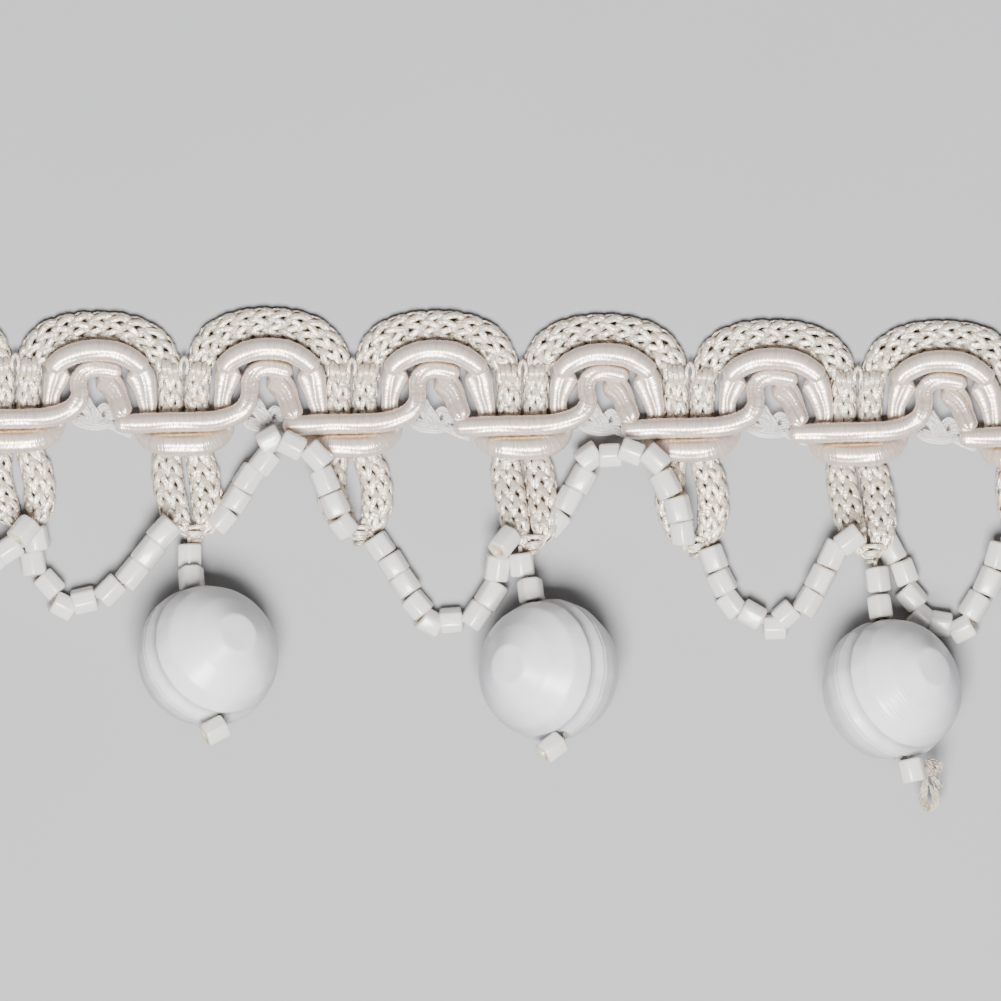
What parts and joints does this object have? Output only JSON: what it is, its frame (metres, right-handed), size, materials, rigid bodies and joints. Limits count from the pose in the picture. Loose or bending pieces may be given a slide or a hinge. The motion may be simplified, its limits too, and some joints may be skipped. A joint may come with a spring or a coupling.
{
  "type": "beaded loop fringe trim",
  "caption": "Scalloped gimp braid of knitted and satin cords with hanging knitted loops, swags of small white beads and round bead drops.",
  "frame": {"origin": "middle of the underside of the whole trim's box, on the surface it lies on", "axes": "+X along the trim, +Y towards the scalloped edge, +Z out of the face"},
  "size_m": [0.1024, 0.0422, 0.0114],
  "materials": {
    "knit_yarn": "pearly white multifilament yarn, knitted into a tubular cord",
    "satin": "satin-wrapped cord, pinkish ivory with a bright sheen along it",
    "clear_thread": "flat transparent monofilament",
    "tie_thread": "fine cream to tan thread, matt",
    "small_beads": "opaque white, glossy with rounded edges",
    "ball_beads": "cool white, satin gloss, turned"
  },
  "bodies": {
    "root": {"knit_cord": "knit_yarn", "satin_cord_outer": "satin", "satin_cord_inner": "satin", "neck_binding_1": "knit_yarn", "neck_binding_2": "knit_yarn", "neck_binding_3": "knit_yarn", "neck_binding_4": "knit_yarn", "neck_binding_5": "knit_yarn", "neck_binding_6": "knit_yarn", "clear_chain_1": "clear_thread", "clear_chain_2": "clear_thread", "clear_chain_3": "clear_thread", "clear_chain_4": "clear_thread", "clear_chain_5": "clear_thread", "clear_chain_6": "clear_thread", "clear_chain_7": "clear_thread", "bead_strand_1": "small_beads", "bead_strand_2": "small_beads", "bead_strand_3": "small_beads", "bead_strand_4": "small_beads", "bead_strand_5": "small_beads", "bead_strand_6": "small_beads", "bead_strand_7": "small_beads", "tip_binding_1": "tie_thread", "tip_binding_2": "tie_thread", "tip_binding_3": "tie_thread", "tip_binding_4": "tie_thread", "tip_binding_5": "tie_thread", "tip_binding_6": "tie_thread", "ball_bead_1": "ball_beads", "ball_bead_2": "ball_beads", "ball_bead_3": "ball_beads", "drop_thread_1": "small_beads", "drop_thread_2": "small_beads", "drop_thread_3": "small_beads", "thread_tail": "tie_thread"}
  },
  "joints": []
}
